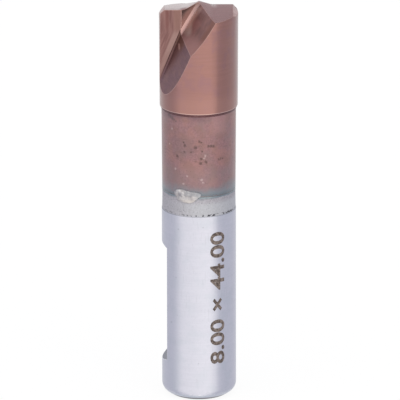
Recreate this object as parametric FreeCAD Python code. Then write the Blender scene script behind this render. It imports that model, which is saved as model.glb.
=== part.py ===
import FreeCAD, Part
import math
import os
from FreeCAD import Vector

# Dowel drill bit: a coated carbide cutting head, brazed to a ground steel shank.
# Millimetres. The origin is the centre of the shank's end face, and +Z runs up
# the axis to the drill point. The bit cuts right-handed, so it turns
# anticlockwise when it is seen from the point.

# Lengths along the axis
total_length = 44.0
shank_length = 23.0
solder_thickness = 0.2
head_length = 11.48
shoulder_height = 0.36

# Diameters. The head tapers back from the point, and the neck is as sintered.
shank_diameter = 8.0
head_tip_diameter = 8.54
head_base_diameter = 8.42
neck_top_diameter = 8.04
neck_foot_diameter = 7.92

# Shank: the end chamfer, the unground band that tapers to the joint, the flat,
# and where the seam of the turned surfaces stands, clear of that flat
chamfer_height = 0.65
chamfer_width = 1.0
chamfer_rounding = 1.1
band_length = 2.1
band_foot_depth = 0.03
band_top_depth = 0.06
flat_depth = 0.54
flat_foot = 4.2
flat_length = 12.6
flat_wall_angle = 60.0
seam_bearing = 40.0

# Solder: the hollow round the rim of the layer, and the bead that ran out of it
rim_hollow = 0.05
bead_width = 3.4
bead_height = 1.65
bead_rise = 0.2
bead_bearing = -107.0

# Point: two lips square to the axis, and a low centre point between them
lip_drop = 0.64
lip_offset = 1.13
corner_start = 3.70
corner_angle = 45.0
centre_slope = 25.5
centre_blend_radius = 2.0
land_width = 1.3
primary_relief = 5.0
secondary_relief = 9.0

# Flute: its rake wall carries the lip, and its gullet runs out at the side
axial_rake = 5.0
gullet_offset = 0.92
gullet_lean = 21.8
flute_opening = 114.8
gullet_radius = 0.5

# Gash that thins the web between the lips, with its own rounded corner
gash_start = 1.86
gash_turn = 26.0
gash_depth = 1.83
gash_lean = 36.0
gash_opening = 97.0
gash_radius = 0.35

# Heights and radii that follow from the sizes above
neck_foot = shank_length + solder_thickness
head_base = total_length - head_length
lip_height = total_length - lip_drop
shank_radius = shank_diameter / 2
head_radius = head_tip_diameter / 2
cutter_reach = 1.5 * head_tip_diameter

origin = Vector(0, 0, 0)
axis = Vector(0, 0, 1)


def tangent(degrees):
    return math.tan(math.radians(degrees))


def turned(first, second, degrees):
    """The unit vector that lies the given angle from first towards second."""
    angle = math.radians(degrees)
    return first * math.cos(angle) + second * math.sin(angle)


def revolved(outline):
    """A turned solid from its half section, given as radius and height."""
    points = [Vector(radius, 0, height) for radius, height in outline]
    section = Part.Face(Part.makePolygon(points + points[:1]))
    return section.revolve(origin, axis, 360)


def pair(cutter):
    """The same cutter on both sides of the axis, half a turn apart."""
    opposite = cutter.copy()
    opposite.rotate(origin, axis, 180)
    return [cutter, opposite]


def notch(corner, run, wall, face, opening, radius):
    """A V-shaped cutter with a rounded corner.

    Its corner line passes through corner along run. One wall goes out along
    wall, and the other opens from it by the opening angle towards face.
    """
    other_wall = turned(wall, face, opening)
    middle = turned(wall, face, opening / 2)
    seat = radius / tangent(opening / 2)
    crown = radius / math.sin(math.radians(opening / 2)) - radius
    top = corner - run * cutter_reach
    first, second = top + wall * seat, top + other_wall * seat
    first_end, second_end = top + wall * cutter_reach, top + other_wall * cutter_reach
    rounded = Part.Arc(second, top + middle * crown, first).toShape()
    sides = [Part.makeLine(a, b) for a, b in
             ((first, first_end), (first_end, second_end), (second_end, second))]
    section = Part.Face(Part.Wire(sides + [rounded]))
    return section.extrude(run * 2 * cutter_reach)


# The rake wall of the left tooth faces the front. Down runs along that wall
# to the shank, outward runs along the lip, and back is square into the tooth.
outward = Vector(-1, 0, 0)
inward = Vector(1, 0, 0)
back = turned(Vector(0, 1, 0), axis, axial_rake)
front = back * -1
down = turned(axis * -1, Vector(0, 1, 0), axial_rake)


def flute_cutter():
    corner = Vector(-gullet_offset, -lip_offset, lip_height)
    run = turned(down, outward, gullet_lean)
    wall = turned(outward, down * -1, gullet_lean)
    return notch(corner, run, wall, front, flute_opening, gullet_radius)


def gash_cutter():
    start = Vector(-gash_start, -lip_offset, lip_height)
    across = turned(inward, back, gash_turn)
    face = turned(front, inward, gash_turn)
    corner = start + across * gash_depth
    run = turned(down, across * -1, gash_lean)
    wall = turned(across * -1, down * -1, gash_lean)
    return notch(corner, run, wall, face, gash_opening, gash_radius)


def flank_cutter(start_drop, relief, start):
    """Everything above one tooth's flank, swept straight back from its lip.

    The profile is the grinding wheel's: the corner chamfer, the flat lip, a
    blend, and the slope of the centre point, which runs on past the axis.
    """
    ridge = total_length + lip_offset * tangent(primary_relief)
    foot = (ridge - lip_height) / tangent(centre_slope)
    seat = centre_blend_radius * tangent(centre_slope / 2)
    clear = total_length + cutter_reach
    far = cutter_reach

    def place(across, height):
        return Vector(-across, start, height - start_drop)

    def slope_point(across):
        return place(across, ridge - across * tangent(centre_slope))

    blend_low = place(foot + seat, lip_height)
    blend_high = slope_point(foot - seat * math.cos(math.radians(centre_slope)))
    half = math.radians(centre_slope / 2)
    rise = centre_blend_radius * (1 - math.cos(half))
    blend_middle = place(foot + seat - centre_blend_radius * math.sin(half), lip_height + rise)
    corner = place(corner_start, lip_height)
    corner_end = place(far, lip_height - (far - corner_start) * tangent(corner_angle))
    crossing = slope_point(-head_radius)
    lid = [place(-head_radius, clear), place(far, clear)]

    lines = [(corner, blend_low), (blend_high, crossing), (crossing, lid[0]),
             (lid[0], lid[1]), (lid[1], corner_end), (corner_end, corner)]
    edges = [Part.makeLine(a, b) for a, b in lines]
    edges.append(Part.Arc(blend_low, blend_middle, blend_high).toShape())
    section = Part.Face(Part.Wire(Part.__sortEdges__(edges)))
    sweep = Vector(0, 1, -tangent(relief))
    return section.extrude(sweep * 2 * cutter_reach)


def cutting_head():
    blank = revolved([
        (0, neck_foot),
        (neck_foot_diameter / 2, neck_foot),
        (neck_top_diameter / 2, head_base - shoulder_height),
        (head_base_diameter / 2, head_base),
        (head_radius, total_length + lip_drop),
        (0, total_length + lip_drop),
    ])
    land_end = land_width - lip_offset
    land_drop = land_width * tangent(primary_relief)
    before = cutter_reach * 0.5
    primary = flank_cutter(-before * tangent(primary_relief), primary_relief,
                           -lip_offset - before)
    secondary = flank_cutter(land_drop - before * tangent(secondary_relief),
                             secondary_relief, land_end - before)
    cutters = pair(primary) + pair(secondary) + pair(flute_cutter()) + pair(gash_cutter())
    return blank.cut(cutters)


def clamping_flat_cutter():
    """The ground flat on the -X side, with sloping walls at both ends."""
    plane = shank_radius - flat_depth
    clear = shank_radius + flat_depth
    spread = (clear - plane) / tangent(flat_wall_angle)
    top = flat_foot + flat_length
    outline = [(plane, flat_foot), (plane, top), (clear, top + spread), (clear, flat_foot - spread)]
    points = [Vector(-x, -shank_radius, z) for x, z in outline]
    section = Part.Face(Part.makePolygon(points + points[:1]))
    return section.extrude(Vector(0, shank_diameter, 0))


def steel_shank():
    band_foot = shank_length - band_length
    body = revolved([
        (0, 0),
        (shank_radius - chamfer_width, 0),
        (shank_radius, chamfer_height),
        (shank_radius, band_foot),
        (shank_radius - band_foot_depth, band_foot + band_foot_depth),
        (shank_radius - band_top_depth, shank_length),
        (0, shank_length),
    ])
    rim = [edge for edge in body.Edges if edge.Closed
           and abs(edge.BoundBox.ZMin - chamfer_height) < 0.01
           and edge.BoundBox.ZLength < 0.01]
    body = body.makeFillet(chamfer_rounding, rim)
    body.rotate(origin, axis, seam_bearing)
    return body.cut(clamping_flat_cutter())


def solder_layer():
    """A thin disc whose rim is drawn in between the head and the shank."""
    rim = neck_foot_diameter / 2
    low, high = Vector(0, 0, shank_length), Vector(0, 0, neck_foot)
    rim_low, rim_high = Vector(rim, 0, shank_length), Vector(rim, 0, neck_foot)
    waist = Vector(rim - rim_hollow, 0, shank_length + solder_thickness / 2)
    edges = [Part.makeLine(low, rim_low), Part.Arc(rim_low, waist, rim_high).toShape(),
             Part.makeLine(rim_high, high), Part.makeLine(high, low)]
    return Part.Face(Part.Wire(edges)).revolve(origin, axis, 360)


def braze_joint(head, shank):
    """The solder layer, with the flat bead that ran out at the front."""
    ball = Part.makeSphere(1.0)
    stretch = FreeCAD.Matrix()
    stretch.scale(bead_rise * 2, bead_width / 2, bead_height / 2)
    bead = ball.transformGeometry(stretch)
    centre_radius = shank_radius - band_top_depth - bead_rise
    bead.translate(Vector(centre_radius, 0, shank_length + solder_thickness / 2))
    bead.rotate(origin, axis, bead_bearing)
    return solder_layer().fuse(bead.cut([head, shank])).removeSplitter()


def export(name, shape):
    shape.exportStep("parts/" + name + ".step")
    box = shape.optimalBoundingBox()
    print(name, shape.ShapeType, len(shape.Solids), shape.isValid(),
          round(shape.Volume, 3), round(box.ZMin, 3), round(box.ZMax, 3))


os.makedirs("parts", exist_ok=True)
head = cutting_head()
shank = steel_shank()
export("cutting_head", head)
export("steel_shank", shank)
export("braze_joint", braze_joint(head, shank))
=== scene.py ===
import math

import bmesh
import bpy
from mathutils import Matrix, Vector, noise


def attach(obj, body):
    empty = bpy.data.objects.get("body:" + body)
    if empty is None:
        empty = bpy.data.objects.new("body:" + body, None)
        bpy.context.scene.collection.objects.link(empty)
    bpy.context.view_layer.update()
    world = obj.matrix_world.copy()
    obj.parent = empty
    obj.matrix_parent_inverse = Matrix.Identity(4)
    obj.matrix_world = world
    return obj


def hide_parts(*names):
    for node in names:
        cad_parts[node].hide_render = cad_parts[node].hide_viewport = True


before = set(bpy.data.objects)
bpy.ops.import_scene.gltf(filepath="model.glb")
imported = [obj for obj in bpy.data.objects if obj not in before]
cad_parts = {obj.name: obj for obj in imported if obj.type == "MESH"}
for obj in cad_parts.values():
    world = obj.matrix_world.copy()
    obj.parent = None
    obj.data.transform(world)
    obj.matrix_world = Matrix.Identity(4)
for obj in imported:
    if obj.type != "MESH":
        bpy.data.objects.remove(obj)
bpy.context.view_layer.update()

MM = 0.001  # the frame is in metres

# Places on the bit, in millimetres up its axis or out from it. The finishes
# below give the places of their stains in millimetres too.
LIP = 43.36
HEAD_FOOT = 32.52
SHOULDER_FOOT = 32.16
NECK_FOOT = 23.2
BAND_FOOT = 20.9
SHANK_RADIUS = 4.0
NECK_RADIUS = 3.98


def srgb(code):
    """A linear colour from an sRGB hex value."""
    parts = [int(code[i:i + 2], 16) / 255 for i in (1, 3, 5)]
    linear = [c / 12.92 if c <= 0.04045 else ((c + 0.055) / 1.055) ** 2.4 for c in parts]
    return (*linear, 1.0)


def add(tree, kind, inputs=None, **settings):
    """One node, with its settings, its values and its incoming links.

    An input is named or numbered. Its value is a number, a colour, a socket,
    or a node, which stands for that node's first output in use.
    """
    node = tree.nodes.new(kind)
    for name, value in settings.items():
        setattr(node, name, value)
    for name, value in (inputs or {}).items():
        if isinstance(name, str):
            socket = next(s for s in node.inputs if s.enabled and s.name == name)
        else:
            socket = node.inputs[name]
        if isinstance(value, bpy.types.Node):
            value = next(s for s in value.outputs if s.enabled)
        if isinstance(value, bpy.types.NodeSocket):
            tree.links.new(value, socket)
        else:
            socket.default_value = value
    return node


def new_material(name):
    made = bpy.data.materials.new(name)
    made.use_nodes = True
    made.node_tree.nodes.clear()
    return made, made.node_tree


def object_place(tree, scale=(1.0, 1.0, 1.0)):
    """Object coordinates, which are in metres, stretched to the given scale."""
    place = add(tree, "ShaderNodeTexCoord").outputs["Object"]
    return add(tree, "ShaderNodeMapping", {"Vector": place, "Scale": scale})


def place_in_mm(tree):
    """The place on the bit in millimetres, and its separate X, Y and Z."""
    place = object_place(tree, (1 / MM, 1 / MM, 1 / MM))
    return place, add(tree, "ShaderNodeSeparateXYZ", {0: place}).outputs


def where(tree, *ramps):
    """A mask: all of the given ramps multiplied together.

    A ramp is a value with its start and end. It goes smoothly from zero to one
    between them, or between the two levels that may follow them, and it falls
    where the start is the greater. A number or a mask may stand for a ramp.
    """
    share = 1.0
    for ramp in ramps:
        if isinstance(ramp, tuple):
            value, start, end, *levels = ramp
            low, high = levels or (0.0, 1.0)
            ramp = add(tree, "ShaderNodeMapRange", {
                "Value": value, "From Min": start, "From Max": end,
                "To Min": low, "To Max": high}, interpolation_type="SMOOTHSTEP")
        share = add(tree, "ShaderNodeMath", {0: share, 1: ramp}, operation="MULTIPLY")
    return share


def stain(tree, tone, colour, strength, *ramps):
    """The tone with a hex colour over it, at that strength where the ramps are one."""
    mask = where(tree, strength, *ramps)
    return add(tree, "ShaderNodeMix", {"Factor": mask, "A": tone, "B": srgb(colour)},
               data_type="RGBA")


def toned(tree, pattern, low, high, dark, light):
    """From one hex colour to another, as a pattern goes from low to high."""
    return stain(tree, srgb(dark), light, 1.0, (pattern, low, high))


def metal_finish(tree, colour, roughness, height, depth, skin=0.0, metal=1.0):
    """The metal shader. Its fine relief is a bump of the given depth in metres.

    The skin is how much of a clear top layer the metal has, which pales it
    where it is seen at a low angle. A powdery surface is less of a metal.
    """
    bump = add(tree, "ShaderNodeBump", {"Height": height, "Distance": depth, "Strength": 1.0})
    shader = add(tree, "ShaderNodeBsdfPrincipled", {
        "Base Color": colour, "Metallic": metal, "Roughness": roughness, "Normal": bump,
        "Coat Weight": skin, "Coat Roughness": 0.3})
    add(tree, "ShaderNodeOutputMaterial", {"Surface": shader})


def rings(tree, spacing, run):
    """Grinding rings round the axis: fine along it, long round it.

    The real grit leaves rings of some 0.02 mm. They are drawn about ten times
    as coarse, or the render would not show them.
    """
    place = object_place(tree, (1 / run, 1 / run, 1 / spacing))
    return add(tree, "ShaderNodeTexNoise", {"Vector": place, "Scale": 1.0, "Detail": 3.0,
                                            "Roughness": 0.6})


def clouds(tree, size, detail=2.0):
    """Soft patches of the given size in metres: stains, grain or lumps."""
    place = object_place(tree)
    return add(tree, "ShaderNodeTexNoise", {"Vector": place, "Scale": 1 / size, "Detail": detail,
                                            "Roughness": 0.5})


# The angles and places of the flute and the gash, as the solids have them
AXIAL_RAKE = 5.0
GULLET_LEAN = 21.8
FLUTE_OPENING = 114.8
GASH_TURN = 26.0
GASH_DEPTH = 1.83
GASH_LEAN = 36.0
GASH_OPENING = 97.0
CENTRE_SLOPE = 25.5


def turned(first, second, degrees):
    """The unit vector that lies the given angle from first towards second."""
    angle = math.radians(degrees)
    return first * math.cos(angle) + second * math.sin(angle)


# The two walls of each flute, and of the gash that thins the web. Each pair
# meets in a corner line, which starts at a point and runs down and outward.
OUT, BACK, UP = Vector((-1, 0, 0)), Vector((0, 1, 0)), Vector((0, 0, 1))
RAKE_BACK = turned(BACK, UP, AXIAL_RAKE)
RAKE_DOWN = turned(-UP, BACK, AXIAL_RAKE)
GULLET = Vector((-0.92, -1.13, LIP))
GULLET_RUN = turned(RAKE_DOWN, OUT, GULLET_LEAN)
RAKE_WALL = turned(OUT, -RAKE_DOWN, GULLET_LEAN)
FLOOR_WALL = turned(RAKE_WALL, -RAKE_BACK, FLUTE_OPENING)
GASH_ACROSS = turned(-OUT, RAKE_BACK, GASH_TURN)
GASH = Vector((-1.86, -1.13, LIP)) + GASH_ACROSS * GASH_DEPTH
GASH_RUN = turned(RAKE_DOWN, -GASH_ACROSS, GASH_LEAN)
GASH_FACE = turned(-RAKE_BACK, -OUT, GASH_TURN)
GASH_SIDE = turned(-GASH_ACROSS, -RAKE_DOWN, GASH_LEAN)
GASH_WALL = turned(GASH_SIDE, GASH_FACE, GASH_OPENING)
CREST = Vector((0, 0, 44.1))
CREST_SLOPE = turned(UP, OUT, CENTRE_SLOPE)


def tooth_place(tree):
    """The place in millimetres, with the back tooth turned onto the front one."""
    place, parts = place_in_mm(tree)
    side = add(tree, "ShaderNodeMath", {0: parts["Y"]}, operation="SIGN")
    turn = add(tree, "ShaderNodeMath", {0: side, 1: -1.0}, operation="MULTIPLY")
    turns = add(tree, "ShaderNodeCombineXYZ", {0: turn, 1: turn, 2: 1.0})
    return add(tree, "ShaderNodeVectorMath", {0: place, 1: turns}, operation="MULTIPLY")


def along(tree, place, start, direction):
    """How far a place lies from start in the given direction, in millimetres."""
    reach = add(tree, "ShaderNodeVectorMath", {0: place, 1: direction}, operation="DOT_PRODUCT")
    return add(tree, "ShaderNodeMath", {0: reach, 1: start.dot(direction)}, operation="SUBTRACT")


def streaks(tree, across, down, width, run):
    """Wheel marks on a wall, of the given width and run in millimetres.

    The wheel's own marks are about 0.03 mm apart. They are drawn coarser, or
    the render would not show them.
    """
    place = add(tree, "ShaderNodeCombineXYZ", {0: across, 1: down})
    place = add(tree, "ShaderNodeMapping", {"Vector": place, "Scale": (1 / width, 1 / run, 1.0)})
    return add(tree, "ShaderNodeTexNoise", {"Vector": place, "Scale": 1.0, "Detail": 3.0,
                                            "Roughness": 0.6})


# Copper-brown nitride coating where the head was ground round: a satin metal
# with faint rings. It gives the eye a warm brown with a soft sheen.
def coating_ground_round():
    made, tree = new_material("copper_nitride_ground_round")
    ring = rings(tree, 0.22 * MM, 4 * MM)
    cloud = clouds(tree, 2.5 * MM)
    tone = toned(tree, ring, 0.35, 0.65, "#835E5B", "#87615F")
    tone = stain(tree, tone, "#805D62", 0.6, (cloud, 0.4, 0.7))
    mottle = clouds(tree, 0.9 * MM, 3.0)
    tone = stain(tree, tone, "#7C5A64", 0.35, (mottle, 0.5, 0.66))
    height = place_in_mm(tree)[1]["Z"]
    tone = stain(tree, tone, "#8F6965", 0.6, (height, HEAD_FOOT + 2.6, HEAD_FOOT + 1.0))
    roughness = where(tree, (ring, 0.3, 0.7, 0.29, 0.33))
    metal_finish(tree, tone, roughness, ring, 0.001 * MM, skin=0.45)
    return made


# The rake wall: streaks from the flute wheel, upright by the lip and aslant below it, a paler
# strip beside the gullet that is a painted highlight, and painted shade in the gullet's corner
def coating_rake_wall():
    made, tree = new_material("copper_nitride_rake_wall")
    place = tooth_place(tree)
    across = along(tree, place, GULLET, OUT)
    depth = along(tree, place, GULLET, -UP)
    aside = along(tree, place, GULLET, RAKE_WALL)
    down = along(tree, place, GULLET, GULLET_RUN)
    upright = streaks(tree, across, depth, 0.32, 3.4)
    aslant = streaks(tree, aside, down, 0.28, 3.0)
    below = where(tree, (depth, 1.6, 3.2))
    marks = add(tree, "ShaderNodeMix", {"Factor": below, "A": upright, "B": aslant})
    tone = toned(tree, marks, 0.34, 0.64, "#674B4C", "#795C5C")
    dull = where(tree, (across, 2.15, 2.4), (across, 2.75, 2.55), (depth, 2.6, 1.6))
    tone = stain(tree, tone, "#654343", 0.6, dull)
    clear = where(tree, (across, 0.9, 1.05), (across, 1.85, 1.65), (depth, 3.6, 1.4))
    tone = stain(tree, tone, "#7A5E5A", 0.6, clear)
    # Painted highlight: a paler strip beside the gullet, where its rounding starts
    strip = where(tree, (aside, 0.08, 0.22), (aside, 0.85, 0.55), (down, 2.4, 3.4),
                  (down, 4.6, 6.4, 0.85, 0.45))
    tone = stain(tree, tone, "#876E6D", 1.0, strip)
    # Painted shade: darker along the gullet's corner, from a little way down
    dark = where(tree, (aside, 0.18, 0.02), (down, 1.6, 2.6))
    tone = stain(tree, tone, "#543B38", 0.75, dark)
    metal_finish(tree, tone, 0.36, marks, 0.006 * MM)
    return made


# The flute's other wall: a purple cast, and near black in the gullet, which is painted shade
def coating_flute_floor():
    made, tree = new_material("copper_nitride_flute_floor")
    place = tooth_place(tree)
    up_wall = along(tree, place, GULLET, FLOOR_WALL)
    down = along(tree, place, GULLET, GULLET_RUN)
    marks = streaks(tree, up_wall, down, 0.9, 0.16)
    tone = toned(tree, marks, 0.3, 0.7, "#6A5056", "#755860")
    tone = stain(tree, tone, "#7C5E5E", 0.5, (clouds(tree, 0.8 * MM, 3.0), 0.44, 0.64))
    dark = where(tree, (up_wall, 1.9, 0.9), (down, 8.2, 5.6))
    tone = stain(tree, tone, "#745454", 0.85, dark)
    root = where(tree, (up_wall, 2.1, 1.2), (down, 4.8, 3.6))
    tone = stain(tree, tone, "#79584F", 0.75, root)
    # Painted shade: near black along the gullet's corner
    corner = where(tree, (up_wall, 0.5, 0.2), (down, 5.8, 4.4))
    tone = stain(tree, tone, "#4F3936", 0.6, corner)
    across = along(tree, place, GULLET, OUT)
    depth = along(tree, place, GULLET, -UP)
    # A painted glint: a small pale spot near the gullet, on the front tooth only
    painted_glint = where(tree, (across, 1.04, 1.1), (across, 1.3, 1.24), (depth, 3.6, 3.75),
                  (depth, 4.4, 4.05))
    on_front_tooth = (place_in_mm(tree)[1]["Y"], 0.0, -0.5)
    tone = stain(tree, tone, "#B8948F", 0.8, painted_glint, on_front_tooth)
    metal_finish(tree, tone, 0.36, marks, 0.0025 * MM)
    return made


def under_crest(tree, place):
    """One just under the slope of the centre point, where the light is cut off."""
    below = along(tree, place, CREST, CREST_SLOPE)
    return where(tree, (below, -0.45, -0.12))


# The gash: a rounded corner, glossier than the walls and coloured paler as a painted highlight.
# It gives the eye a thin pale line that starts by the centre point.
def coating_gash_corner():
    made, tree = new_material("copper_nitride_gash_corner")
    place = tooth_place(tree)
    down = along(tree, place, GASH, GASH_RUN)
    marks = streaks(tree, down, down, 0.6, 0.6)
    # Painted highlight: pale colours, paler lower down
    tone = stain(tree, srgb("#886F70"), "#A28180", 1.0, (down, -0.2, 1.6))
    tone = stain(tree, tone, "#5C4C48", 0.6, under_crest(tree, place))
    metal_finish(tree, tone, 0.25, marks, 0.001 * MM)
    return made


# The gash walls: brown, darker where the wheel left them, and pinkish below. Painted shade
# darkens the upper wall. Beside the corner a pale patch narrows downward, which is a painted
# highlight, and the wall across the corner goes from a painted highlight to painted shade.
def coating_gash_wall():
    made, tree = new_material("copper_nitride_gash_wall")
    place = tooth_place(tree)
    up_wall = along(tree, place, GASH, GASH_WALL)
    down = along(tree, place, GASH, GASH_RUN)
    marks = streaks(tree, up_wall, down, 0.5, 1.6)
    tone = toned(tree, marks, 0.35, 0.65, "#7A5C5A", "#886664")
    mottle = clouds(tree, 0.7 * MM, 3.0)
    tone = stain(tree, tone, "#775B5F", 0.35, (mottle, 0.42, 0.62))
    patch = where(tree, (up_wall, 0.5, 1.1), (up_wall, 2.4, 1.7), (down, 0.4, 1.3),
                  (down, 3.2, 2.2))
    tone = stain(tree, tone, "#8F6664", 0.8, patch)
    shade = where(tree, (up_wall, 0.7, 1.1), (up_wall, 2.4, 1.8), (down, 0.0, 0.3),
                  (down, 1.3, 0.7))
    tone = stain(tree, tone, "#6A4A48", 0.5, shade)
    tone = stain(tree, tone, "#80594F", 0.5, (up_wall, 3.2, 3.6))
    tone = stain(tree, tone, "#9A7371", 0.7, (down, 2.2, 3.4))
    from_corner = along(tree, place, GASH, GASH_SIDE)
    widens = where(tree, (down, 1.4, 2.8, 0.0, -0.75))
    lean = add(tree, "ShaderNodeMath", {0: up_wall, 1: widens}, operation="ADD")
    # Painted highlight: the pale patch beside the corner
    beside = where(tree, (lean, 1.08, 0.34), (down, -0.4, 0.1), (down, 3.4, 2.6))
    tone = stain(tree, tone, "#B29893", 0.85, beside)
    # The side wall: painted highlight near the corner, painted shade farther from it
    side_wall = where(tree, (up_wall, 0.1, -0.05))
    tone = stain(tree, tone, "#AD908D", 1.0, side_wall, (from_corner, 1.1, 0.4))
    tone = stain(tree, tone, "#67585A", 0.8, side_wall, (from_corner, 0.6, 1.1))
    tone = stain(tree, tone, "#4E403E", 0.5, under_crest(tree, place))
    metal_finish(tree, tone, 0.36, marks, 0.004 * MM)
    return made


# The flanks behind the lips: ground flat and smooth, so they mirror the room
def coating_flank():
    made, tree = new_material("copper_nitride_flank")
    place = tooth_place(tree)
    across = along(tree, place, GULLET, OUT)
    marks = streaks(tree, across, along(tree, place, GULLET, BACK), 2.5, 0.25)
    tone = toned(tree, marks, 0.35, 0.65, "#7D595C", "#876063")
    metal_finish(tree, tone, 0.13, marks, 0.0006 * MM, skin=0.3)
    return made


# Rounded edges of the coating, coloured paler as a painted highlight. At the two outer corners of
# the lips, and round the head's foot, the painted highlight is paler still.
def coating_painted_highlight(name, dark, light):
    made, tree = new_material(name)
    edge_mottle = clouds(tree, 0.4 * MM, 3.0)
    tone = toned(tree, edge_mottle, 0.3, 0.7, dark, light)
    height = place_in_mm(tree)[1]["Z"]
    # Painted highlight: paler still round the head's foot
    tone = stain(tree, tone, "#B89A98", 1.0, (height, HEAD_FOOT + 0.2, HEAD_FOOT + 0.1))
    metal_finish(tree, tone, 0.3, edge_mottle, 0.002 * MM)
    return made


# The shoulder under the head: dull, where no wheel went, and coloured dark as painted shade,
# since it faces down under the head. Its grain is drawn as coarse as the neck's.
def coating_shoulder():
    made, tree = new_material("copper_nitride_shoulder")
    grain = clouds(tree, 0.2 * MM, 3.0)
    tone = toned(tree, grain, 0.3, 0.7, "#5A3E43", "#694C50")
    metal_finish(tree, tone, 0.5, grain, 0.01 * MM)
    return made


# The neck was left as sintered under the coating: matt, grainy and blotchy, with pits, painted
# glints, and a ragged nick under the shoulder. The coating fades out above the joint, where the
# carbide shows grey. Each mark is given as its bearing from the front in degrees, its height and
# its radius. Those beyond 90 degrees are on the back, and are more of the same kind.
PITS = ((-5.1, 28.76, 0.15), (0.7, 29.44, 0.1), (3.6, 29.33, 0.08), (15.4, 28.9, 0.12),
        (19.5, 28.91, 0.13), (23.6, 28.82, 0.12), (-22.1, 28.93, 0.12), (-24.1, 29.27, 0.09),
        (-22.7, 28.2, 0.09), (-11.9, 28.22, 0.1), (-35.4, 27.6, 0.13), (5.0, 28.34, 0.08),
        (3.6, 27.5, 0.1), (11.4, 27.13, 0.13), (2.6, 26.98, 0.13), (32.4, 27.31, 0.08),
        (36.0, 27.28, 0.08), (39.6, 27.26, 0.08), (150.0, 29.1, 0.14), (171.0, 27.3, 0.12),
        (-160.0, 28.2, 0.1), (-120.0, 26.9, 0.12), (98.0, 28.0, 0.12))
NICK = ((-53.0, 31.98, 0.13), (-49.0, 31.88, 0.16), (-45.0, 31.76, 0.16), (-41.5, 31.62, 0.12),
        (-38.5, 31.5, 0.08))
PAINTED_GLINTS = ((-46.3, 30.55, 0.1), (-51.4, 28.78, 0.08), (-39.1, 26.15, 0.09), (10.0, 27.81, 0.09),
          (8.5, 27.55, 0.08), (4.5, 25.15, 0.12), (6.5, 24.79, 0.09), (-18.4, 25.51, 0.08),
          (-24.3, 24.6, 0.1), (120.0, 30.1, 0.09), (165.0, 27.9, 0.08), (-140.0, 29.6, 0.09))
SHAKE = 0.3  # how far the outline of a mark wanders


def marked(tree, place, marks):
    """One in each round mark of the neck, and zero between them."""
    found = 0.0
    for bearing, height, radius in marks:
        angle = math.radians(bearing)
        middle = (math.sin(angle) * NECK_RADIUS, -math.cos(angle) * NECK_RADIUS, height)
        gap = add(tree, "ShaderNodeVectorMath", {0: place, 1: middle}, operation="DISTANCE")
        mark = where(tree, (gap.outputs["Value"], radius * 2.0, radius * 0.5))
        found = add(tree, "ShaderNodeMath", {0: found, 1: mark}, operation="MAXIMUM")
    return found


# The carbide's own grain is under 0.01 mm. It is drawn at 0.2 mm so that it
# shows. Scores run round the neck, 0.6 mm long and 0.15 mm high. The outline of
# each mark wanders in waves of 0.2 mm.
def coating_as_sintered():
    made, tree = new_material("copper_nitride_as_sintered")
    place, parts = place_in_mm(tree)
    across, height = parts["X"], parts["Z"]
    grain = clouds(tree, 0.2 * MM, 4.0)
    cloud = clouds(tree, 1.3 * MM, 3.0)
    blotch = clouds(tree, 1.7 * MM, 3.0)
    tone = toned(tree, grain, 0.25, 0.75, "#79565B", "#8A666C")
    tone = stain(tree, tone, "#8F6562", 0.5, (blotch, 0.5, 0.64))
    tone = stain(tree, tone, "#786063", 0.5, (blotch, 0.48, 0.34))
    tone = stain(tree, tone, "#7B5A56", 0.45, (cloud, 0.46, 0.62))
    # Painted shade under the head: dark, with a ragged lower edge, stronger on the left
    ragged = add(tree, "ShaderNodeMath", {0: cloud, 1: -1.6, 2: height}, operation="MULTIPLY_ADD")
    under = where(tree, (ragged, HEAD_FOOT - 1.9, HEAD_FOOT - 0.9))
    tone = stain(tree, tone, "#604450", 1.0, under, (across, -1.0, 2.5, 0.75, 0.35))
    smoky = where(tree, (across, -3.2, -2.0), (across, 0.0, -0.9), (height, 27.4, 28.4),
                  (height, 30.6, 29.4))
    tone = stain(tree, tone, "#6A545A", 0.4, smoky)
    tone = stain(tree, tone, "#746A72", 0.27, (height, 27.2, 25.4))
    lit = where(tree, (across, 1.0, 1.8), (across, 3.4, 2.6), (height, 29.6, 30.8))
    tone = stain(tree, tone, "#A27A7C", 0.4, lit)
    tone = stain(tree, tone, "#6C7480", 1.0, (ragged, NECK_FOOT + 0.75, NECK_FOOT - 0.75))
    tone = stain(tree, tone, "#5B656F", 0.7, (height, NECK_FOOT + 0.45, NECK_FOOT + 0.05))
    stretched = add(tree, "ShaderNodeMapping", {"Vector": place, "Scale": (1.6, 1.6, 6.5)})
    scores = add(tree, "ShaderNodeTexNoise", {"Vector": stretched, "Scale": 1.0, "Detail": 3.0})
    scored = where(tree, (scores, 0.56, 0.68), (height, 26.2, 27.2), (height, 30.3, 29.3))
    tone = stain(tree, tone, "#5E4446", 0.5, scored)
    specks = add(tree, "ShaderNodeTexVoronoi", {"Vector": place, "Scale": 2.6})  # 0.4 mm apart
    tone = stain(tree, tone, "#5A4044", 0.5, (specks.outputs["Distance"], 0.17, 0.1))
    shake = add(tree, "ShaderNodeTexNoise", {"Vector": place, "Scale": 5.0, "Detail": 2.0})
    shaky = add(tree, "ShaderNodeVectorMath", {
        0: shake.outputs["Color"], 1: (SHAKE, SHAKE, SHAKE), 2: place}, operation="MULTIPLY_ADD")
    shaky = add(tree, "ShaderNodeVectorMath", {0: shaky, 1: (SHAKE / 2, SHAKE / 2, SHAKE / 2)},
                operation="SUBTRACT")
    pitted = marked(tree, shaky, PITS)
    tone = stain(tree, tone, "#432A2C", 0.75, pitted)
    tone = stain(tree, tone, "#4A3A40", 0.65, marked(tree, shaky, NICK))
    # Painted glints: small pale spots
    tone = stain(tree, tone, "#B5A2A6", 0.48, marked(tree, shaky, PAINTED_GLINTS))
    depth = add(tree, "ShaderNodeMix", {"Factor": pitted, "A": grain, "B": -1.0})
    metal_finish(tree, tone, 0.57, depth, 0.02 * MM, skin=0.6, metal=0.7)
    return made
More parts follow.
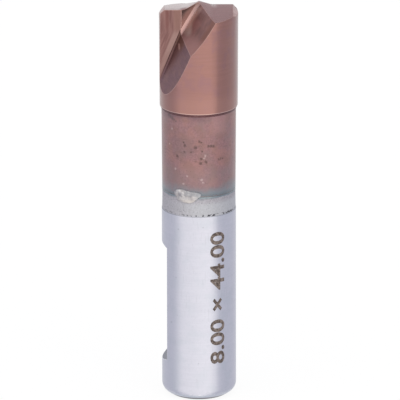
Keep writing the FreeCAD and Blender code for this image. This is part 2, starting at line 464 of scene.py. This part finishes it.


# Silver solder that ran out and set: pale and lumpy, with the tops of its upper lumps coloured
# paler as a painted highlight. The rim of the layer itself has tarnished to a dull blue-grey.
def silver_solder():
    made, tree = new_material("silver_solder_as_it_ran")
    parts = place_in_mm(tree)[1]
    across, height = parts["X"], parts["Z"]
    flat = add(tree, "ShaderNodeCombineXYZ", {0: across, 1: parts["Y"]})
    radius = add(tree, "ShaderNodeVectorMath", {0: flat}, operation="LENGTH").outputs["Value"]
    lumps = clouds(tree, 0.5 * MM, 3.0)
    tone = toned(tree, lumps, 0.36, 0.6, "#8A878E", "#A5A2A8")
    # Painted highlight on the tops of the upper lumps
    crest = where(tree, (lumps, 0.5, 0.62), (height, 23.1, 23.6))
    tone = stain(tree, tone, "#BCBAC0", 0.5, crest)
    tone = stain(tree, tone, "#B7B1B2", 0.5, (height, 23.0, 22.75))
    tone = stain(tree, tone, "#818894", 0.5, (across, -0.7, 0.3))
    tone = stain(tree, tone, "#7B808B", 0.45, (height, 23.15, 23.45), (across, -1.9, -1.2))
    tone = stain(tree, tone, "#79828C", 1.0, (radius, 3.985, 3.965))
    metal_finish(tree, tone, 0.3, lumps, 0.04 * MM)
    return made


# Tool steel ground round: bright and satin, with rings too fine to count. The
# band above the ground part kept its grey skin from heat treatment: rough and
# speckled, with nicks along its foot. Scuffs from the drill chuck run upright.
# The pitting is drawn at 0.16 mm so that it shows.
def ground_steel():
    made, tree = new_material("satin_ground_steel")
    place, parts = place_in_mm(tree)
    across, height = parts["X"], parts["Z"]
    ring = rings(tree, 0.15 * MM, 3 * MM)
    cloud = clouds(tree, 1.8 * MM)
    pitting = clouds(tree, 0.16 * MM, 4.0)
    tone = toned(tree, ring, 0.3, 0.7, "#AFB0C0", "#B3B4C4")
    tone = stain(tree, tone, "#AAAEBD", 0.6, (cloud, 0.45, 0.7))
    speckle = clouds(tree, 0.25 * MM, 3.0)
    tone = stain(tree, tone, "#A6A9B8", 0.4, (speckle, 0.5, 0.75))
    upright = object_place(tree, (1 / (0.1 * MM), 1 / (0.1 * MM), 1 / (1.6 * MM)))
    scuffs = add(tree, "ShaderNodeTexNoise", {"Vector": upright, "Scale": 1.0, "Detail": 2.0})
    tone = stain(tree, tone, "#9A9CA8", 0.35, (scuffs, 0.64, 0.72))
    dings = add(tree, "ShaderNodeTexVoronoi", {"Vector": place, "Scale": 0.8})  # 1.2 mm apart
    tone = stain(tree, tone, "#8A8C98", 0.5, (dings.outputs["Distance"], 0.09, 0.05))
    # Painted reflection: the end chamfer coloured paler
    tone = stain(tree, tone, "#B9BECC", 0.7, (height, 0.3, 0.4), (height, 0.8, 0.6))
    # Painted shade: the foot of the chamfer coloured dark
    tone = stain(tree, tone, "#50525B", 1.0, (height, 0.42, 0.22))
    skin = toned(tree, pitting, 0.2, 0.8, "#96949D", "#AFADB9")
    speck = add(tree, "ShaderNodeTexVoronoi", {"Vector": place, "Scale": 3.2})  # 0.3 mm apart
    skin = stain(tree, skin, "#5B5762", 0.6, (speck.outputs["Distance"], 0.24, 0.1))
    wavy = add(tree, "ShaderNodeMath", {0: cloud, 1: 1.2, 2: height}, operation="MULTIPLY_ADD")
    skin = stain(tree, skin, "#7A828D", 0.5, (wavy, 23.3, 23.65))
    skin = stain(tree, skin, "#B8BCC5", 0.5, (height, 22.75, 22.1),
                 (across, -3.0, 0.5, 0.3, 1.0))
    nicks = where(tree, (height, BAND_FOOT + 0.02, BAND_FOOT + 0.12),
                  (height, BAND_FOOT + 0.36, BAND_FOOT + 0.2),
                  (clouds(tree, 0.3 * MM), 0.53, 0.6), (across, -2.5, 0.5, 0.4, 1.0))
    skin = stain(tree, skin, "#46454E", 1.0, nicks)
    edge = add(tree, "ShaderNodeMath", {0: pitting, 1: 0.1, 2: height}, operation="MULTIPLY_ADD")
    unground = where(tree, (edge, BAND_FOOT + 0.05, BAND_FOOT + 0.15))
    tone = add(tree, "ShaderNodeMix", {"Factor": unground, "A": tone, "B": skin},
               data_type="RGBA")
    roughness = add(tree, "ShaderNodeMix", {"Factor": unground, "A": 0.33, "B": 0.7})
    faint = add(tree, "ShaderNodeMath", {0: ring, 1: 0.1}, operation="MULTIPLY")
    relief = add(tree, "ShaderNodeMix", {"Factor": unground, "A": faint, "B": pitting})
    metal_finish(tree, tone, roughness, relief, 0.02 * MM)
    return made


# The end walls of the flat were milled and not ground: duller, with the cutter's marks across
# them, drawn 0.15 mm apart so that they show. They are also coloured darker than the ground
# steel.
def milled_steel():
    made, tree = new_material("milled_steel")
    place = object_place(tree, (1 / (3 * MM), 1 / (0.15 * MM), 1 / (3 * MM)))
    marks = add(tree, "ShaderNodeTexNoise", {"Vector": place, "Scale": 1.0, "Detail": 3.0})
    tone = toned(tree, marks, 0.35, 0.65, "#787B88", "#848793")
    metal_finish(tree, tone, 0.42, marks, 0.004 * MM)
    return made


# The steel's own edges: broken with a stone, so they are smooth, and coloured paler as a painted
# highlight
def steel_edge():
    made, tree = new_material("stoned_steel_edge_painted_highlight")
    edge_mottle = clouds(tree, 0.5 * MM, 3.0)
    metal_finish(tree, toned(tree, edge_mottle, 0.3, 0.7, "#B4B5C2", "#C6C7D2"), 0.25, edge_mottle, 0.002 * MM)
    return made


# The head is copied and merged, each of its walls gets its own finish, and
# its edges are rounded as the coating rounds them. The finishes go by number.
# The last finish, for the rounded edges, is coloured paler as a painted highlight
(ROUND, RAKE, FLOOR, GASH_CORNER, GASH_SIDES, FLANK, NECK, LIP_CORNER, SHOULDER,
 PAINTED_HIGHLIGHT) = range(10)
WALLS = ((-RAKE_BACK, RAKE), (GULLET_RUN.cross(FLOOR_WALL), FLOOR), (GASH_FACE, GASH_SIDES),
         (GASH_RUN.cross(GASH_WALL), GASH_SIDES))
ROUND_FROM = 4.1  # the ground round is all farther out than this


def head_wall(face):
    """The number of a face's finish, from where it lies and which way it faces.

    A face steeper than a flank is the chamfer at a lip's outer corner. What
    lies along none of the flat walls is one of the rounded corners. The bare
    numbers are cosines of how far a face turns away from a direction.
    """
    centre, normal = face.calc_center_median() / MM, face.normal.copy()
    outward = Vector((centre.x, centre.y, 0)).normalized()
    if centre.z < HEAD_FOOT:
        return NECK if centre.z < SHOULDER_FOOT else SHOULDER
    if normal.dot(outward) > 0.99 and centre.xy.length > ROUND_FROM:
        return ROUND
    if normal.z > 0.8:
        return FLANK
    if normal.z > 0.6:
        return LIP_CORNER
    if centre.y > 0:
        normal.x, normal.y, centre.x, centre.y = -normal.x, -normal.y, -centre.x, -centre.y
    for wall, finish in WALLS:
        if normal.dot(wall) > 0.998:
            return finish
    from_gullet = (centre - GULLET).cross(GULLET_RUN).length
    from_gash = (centre - GASH).cross(GASH_RUN).length
    if from_gash < from_gullet:
        return GASH_CORNER
    return RAKE if normal.dot(-RAKE_BACK) > 0.84 else FLOOR


# Points this close are one, edges that bend less than FLAT are joins within a
# face, and edges that bend more than SHARP are real edges of the part
SAME_PLACE = 0.0002 * MM
FLAT = math.radians(0.3)
SHARP = math.radians(14)

# How wide the roundings are, in millimetres
HEAD_EDGE = 0.035
SHANK_EDGE = 0.05


def new_piece(name, mesh, finishes):
    """A piece from a bmesh, with its finishes, that rides on the bit."""
    data = bpy.data.meshes.new(name)
    mesh.to_mesh(data)
    mesh.free()
    for finish in finishes:
        data.materials.append(finish)
    piece = bpy.data.objects.new(name, data)
    bpy.context.collection.objects.link(piece)
    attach(piece, "root")
    return piece


def rounded_copy(node, name, finishes, wall, edge, edge_finish, picked=None):
    """A copy of a node with its picked outer edges rounded in the given edge finish.

    The rounding is edge millimetres wide. All the other edges, and those in
    the hollows, stay sharp.
    """
    mesh = bmesh.new()
    mesh.from_mesh(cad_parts[node].data)
    bmesh.ops.remove_doubles(mesh, verts=mesh.verts, dist=SAME_PLACE)
    bmesh.ops.dissolve_limit(mesh, angle_limit=FLAT, verts=mesh.verts, edges=mesh.edges)
    for face in mesh.faces:
        face.smooth = True
        face.material_index = wall(face)
    weight = mesh.edges.layers.float.new("bevel_weight_edge")
    for line in mesh.edges:
        bend = line.calc_face_angle_signed()
        rounds = bend > SHARP and (picked is None or picked(line))
        line[weight] = float(rounds)
        line.smooth = rounds or abs(bend) < SHARP
    piece = new_piece(name, mesh, finishes)
    bevel = piece.modifiers.new("rounded edges", "BEVEL")
    bevel.width = edge * MM
    bevel.segments = 2
    bevel.limit_method = "WEIGHT"
    bevel.use_clamp_overlap = False
    bevel.material = edge_finish
    even = piece.modifiers.new("even shading", "WEIGHTED_NORMAL")
    even.weight = 100
    even.keep_sharp = True
    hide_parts(node)
    return piece


# The head's rounded edges and the lips' outer corners take finishes coloured paler as a painted
# highlight
head = rounded_copy("cutting_head", "coated_head", [
    coating_ground_round(), coating_rake_wall(), coating_flute_floor(), coating_gash_corner(),
    coating_gash_wall(), coating_flank(), coating_as_sintered(),
    coating_painted_highlight("copper_nitride_corner_painted_highlight", "#9F7F7F", "#B29595"), coating_shoulder(),
    coating_painted_highlight("copper_nitride_edge_painted_highlight", "#8F6F6E", "#A28382")], head_wall, HEAD_EDGE, PAINTED_HIGHLIGHT)


STEEL, MILLED, STONED = range(3)


def stoned(line):
    """Whether an edge of the shank is below its unground band."""
    return max(vert.co.z for vert in line.verts) < (BAND_FOOT - 0.1) * MM


def shank_wall(face):
    """Milled on the two sloping end walls of the clamping flat, ground elsewhere."""
    above_chamfer = face.calc_center_median().z > 3 * MM
    return MILLED if above_chamfer and 0.5 < abs(face.normal.z) < 0.9 else STEEL


shank = rounded_copy("steel_shank", "ground_shank",
                     [ground_steel(), milled_steel(), steel_edge()],
                     shank_wall, SHANK_EDGE, STONED, stoned)


# The solder: the layer's hollow rim as radius and height, and the bead that ran
# out at the front. The bead's middle is a bearing and a height, and its outline
# is given round that as arc and height.
RIM = ((0, 23.0), (3.955, 23.0), (3.925, 23.04), (3.91, 23.1), (3.925, 23.16), (3.955, 23.2),
       (0, 23.2))
BEAD_MIDDLE = (-17.0, 23.14)
BEAD_OUTLINE = ((1.77, 0.4), (0.77, 0.58), (-0.11, 0.7), (-0.81, 0.86), (-1.78, 0.61),
                (-1.68, 0.02), (-1.26, -0.41), (-0.6, -0.65), (0.11, -0.71), (0.62, -0.54),
                (1.1, -0.1))
BEAD_SKIN = 3.93  # where the bead lies on the bit
BEAD_RISE = 0.19
BEAD_BACK = 0.1  # how far its back goes into the bit


def outline_reach(angle):
    """How far the bead's outline is from its middle at an angle."""
    way = Vector((math.cos(angle), math.sin(angle)))
    for first, second in zip(BEAD_OUTLINE, BEAD_OUTLINE[1:] + BEAD_OUTLINE[:1]):
        start, side = Vector(first), Vector(second) - Vector(first)
        crossing = way.cross(side)
        if abs(crossing) > 1e-9:
            reach, share = start.cross(side) / crossing, start.cross(way) / crossing
            if reach > 0 and -1e-6 <= share <= 1 + 1e-6:
                return reach


def solder_joint():
    """A ball pressed flat into the bead's outline and crumpled, and the spun rim."""
    mesh = bmesh.new()
    bmesh.ops.create_uvsphere(mesh, u_segments=72, v_segments=36, radius=1.0)
    for vert in mesh.verts:
        across, height, out = vert.co.x, vert.co.y, vert.co.z
        angle = math.atan2(height, across)
        near = [angle + math.radians(step) for step in (-9, -3, 3, 9)]
        reach = sum(outline_reach(way) for way in near) / len(near)  # rounds the corners
        share = math.hypot(across, height)
        arc, rise = share * reach * math.cos(angle), share * reach * math.sin(angle)
        crumple = noise.noise(Vector((arc * 3.0, rise * 5.0, 1.7)))
        crumple += 0.5 * noise.noise(Vector((arc * 8.0, rise * 9.0, 4.2)))
        upper = min(1.0, max(0.0, rise / 0.6 + 0.4))  # its upper half is lumpier
        swell = BEAD_RISE * max(0.0, out) * (1 + (0.25 + 0.6 * upper) * crumple)
        if out > 0:
            radius = BEAD_SKIN + swell * 0.85 + 0.04 * min(1.0, out * 4)
        else:
            radius = BEAD_SKIN + out * BEAD_BACK
        bearing = math.radians(BEAD_MIDDLE[0]) + arc / NECK_RADIUS
        vert.co = Vector((radius * math.sin(bearing), -radius * math.cos(bearing),
                          BEAD_MIDDLE[1] + rise)) * MM
    for face in mesh.faces:
        face.smooth = True
    ring = [mesh.verts.new(Vector((radius, 0, height)) * MM) for radius, height in RIM]
    lines = [mesh.edges.new(pair) for pair in zip(ring, ring[1:])]
    bmesh.ops.spin(mesh, geom=ring + lines, cent=(0, 0, 0), axis=(0, 0, 1), dvec=(0, 0, 0),
                   angle=math.tau, steps=96, use_merge=True, use_duplicate=False)
    bmesh.ops.remove_doubles(mesh, verts=mesh.verts, dist=0.0005 * MM)
    bmesh.ops.recalc_face_normals(mesh, faces=mesh.faces)
    return mesh


solder = new_piece("solder_and_bead", solder_joint(), [silver_solder()])
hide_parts("braze_joint")


# A plain size, burnt into the shank by laser: a dull dark brown on the steel
def laser_burn():
    made, tree = new_material("laser_burnt_steel")
    spots = clouds(tree, 0.25 * MM, 3.0)
    tone = toned(tree, spots, 0.35, 0.65, "#453A37", "#7A6E69")
    shader = add(tree, "ShaderNodeBsdfPrincipled", {"Base Color": tone, "Metallic": 0.4,
                                                    "Roughness": 0.6})
    add(tree, "ShaderNodeOutputMaterial", {"Surface": shader})
    return made


SIZE_FOOT, SIZE_TOP = 4.2, 19.1
SIZE_BEARING = 30.4
SIZE_HEIGHT = 1.75
SIZE_LIFT = 0.006  # just clear of the steel, so that the two don't mix
SIZE_STRIPS = 16  # so that the letters bend round the shank


def size_mark():
    """Flat letters, cut into strips and laid up the shank."""
    words = bpy.data.curves.new("size_mark", "FONT")
    words.body = "8.00 \u00d7 44.00"
    words.offset = 0.022  # the burnt line spreads a little
    written = bpy.data.objects.new("size_mark_words", words)
    bpy.context.collection.objects.link(written)
    flat = bpy.data.meshes.new_from_object(
        written.evaluated_get(bpy.context.evaluated_depsgraph_get()))
    bpy.data.objects.remove(written)
    mesh = bmesh.new()
    mesh.from_mesh(flat)
    left, right = (f(v.co.x for v in mesh.verts) for f in (min, max))
    low, high = (f(v.co.y for v in mesh.verts) for f in (min, max))
    for step in range(1, SIZE_STRIPS):
        line = low + (high - low) * step / SIZE_STRIPS
        bmesh.ops.bisect_plane(mesh, geom=mesh.verts[:] + mesh.edges[:] + mesh.faces[:],
                               plane_co=(0, line, 0), plane_no=(0, 1, 0))
    for vert in mesh.verts:
        along_share = (vert.co.x - left) / (right - left)
        up = ((vert.co.y - low) / (high - low) - 0.5) * SIZE_HEIGHT
        bearing = math.radians(SIZE_BEARING) - up / SHANK_RADIUS
        radius = SHANK_RADIUS + SIZE_LIFT
        height = SIZE_FOOT + along_share * (SIZE_TOP - SIZE_FOOT)
        vert.co = Vector((radius * math.sin(bearing), -radius * math.cos(bearing), height)) * MM
    return mesh


new_piece("size_mark", size_mark(), [laser_burn()])


# Camera: the photograph's long view from the front and above, in degrees and
# millimetres
CAMERA_RISE = 17.276
CAMERA_DISTANCE = 1500.0
CAMERA_ROLL = -0.085
PIXELS_PER_MM = 9.267
FRAME_PIXELS = 400
AIM = Vector((0.123, 0.0, 21.648))

rise = math.radians(CAMERA_RISE)
back = Vector((0, -math.cos(rise), math.sin(rise)))
camera = bpy.data.objects.new("camera", bpy.data.cameras.new("camera"))
bpy.context.collection.objects.link(camera)
camera.data.lens = PIXELS_PER_MM * camera.data.sensor_width / FRAME_PIXELS * CAMERA_DISTANCE
camera.data.clip_start = 0.1
camera.data.clip_end = 10
roll = Matrix.Rotation(math.radians(CAMERA_ROLL), 3, "Z")
turn = back.to_track_quat("Z", "Y").to_matrix() @ roll
camera.matrix_world = Matrix.Translation((AIM + back * CAMERA_DISTANCE) * MM) @ turn.to_4x4()
bpy.context.scene.camera = camera


def rays_that_show_white(tree):
    """The light path, and the rays to which the background shows as white."""
    path = add(tree, "ShaderNodeLightPath")
    mirrored = add(tree, "ShaderNodeMath", {
        0: path.outputs["Is Glossy Ray"], 1: path.outputs["Is Transmission Ray"]},
        operation="ADD")
    shown = add(tree, "ShaderNodeMath", {0: path.outputs["Is Camera Ray"], 1: mirrored},
                operation="ADD", use_clamp=True)
    return path, shown


# White paper floor. It shows white in the picture and keeps a faint shadow,
# which comes from the share of plain paper that is left.
WHITE_SHARE = 0.92
FLOOR_SIZE = 3.0


def white_paper():
    made, tree = new_material("white_paper")
    part = where(tree, rays_that_show_white(tree)[1], WHITE_SHARE)
    paper = add(tree, "ShaderNodeBsdfDiffuse", {"Color": srgb("#F4F4F4")})
    glow = add(tree, "ShaderNodeEmission", {"Color": srgb("#FFFFFF"), "Strength": 1.0})
    mixed = add(tree, "ShaderNodeMixShader", {0: part, 1: paper, 2: glow})
    add(tree, "ShaderNodeOutputMaterial", {"Surface": mixed})
    return made


sheet = bmesh.new()
bmesh.ops.create_grid(sheet, x_segments=1, y_segments=1, size=FLOOR_SIZE)
floor = bpy.data.objects.new("floor", bpy.data.meshes.new("floor"))
sheet.to_mesh(floor.data)
sheet.free()
floor.data.materials.append(white_paper())
floor.visible_glossy = False
bpy.context.collection.objects.link(floor)


# Studio: a white tent all round, with one wide, warm soft box in front, which
# fades out at both sides and glows a little more to the right. The camera and
# metal both show the tent. The camera does not see the box. The tent is pure
# white where it shows, and a little cool in the light it sheds.
def studio():
    world = bpy.data.worlds.new("studio")
    bpy.context.scene.world = world
    world.use_nodes = True
    tree = world.node_tree
    tree.nodes.clear()
    path, shown = rays_that_show_white(tree)
    white = stain(tree, srgb("#F4F6FF"), "#FFFFFF", 1.0, shown)
    tent = add(tree, "ShaderNodeBackground", {"Color": white, "Strength": 1.0})
    direction = add(tree, "ShaderNodeTexCoord").outputs["Generated"]
    parts = add(tree, "ShaderNodeSeparateXYZ", {0: direction})
    ahead = add(tree, "ShaderNodeMath", {0: parts.outputs["Y"], 1: -1.0}, operation="MULTIPLY")
    bearing = add(tree, "ShaderNodeMath", {0: parts.outputs["X"], 1: ahead}, operation="ARCTAN2")
    degrees = add(tree, "ShaderNodeMath", {0: bearing}, operation="DEGREES")
    unseen = add(tree, "ShaderNodeMath", {0: 1.0, 1: path.outputs["Is Camera Ray"]},
                 operation="SUBTRACT")
    level = where(tree, (degrees, -88, -50), (degrees, 64, 44), (degrees, -45, 30, 0.66, 0.88),
                  unseen)
    box = add(tree, "ShaderNodeBackground", {"Color": srgb("#FFF8DE"), "Strength": level})
    light = add(tree, "ShaderNodeAddShader", {0: tent, 1: box})
    add(tree, "ShaderNodeOutputWorld", {"Surface": light})


studio()
bpy.context.scene.view_settings.view_transform = "Standard"
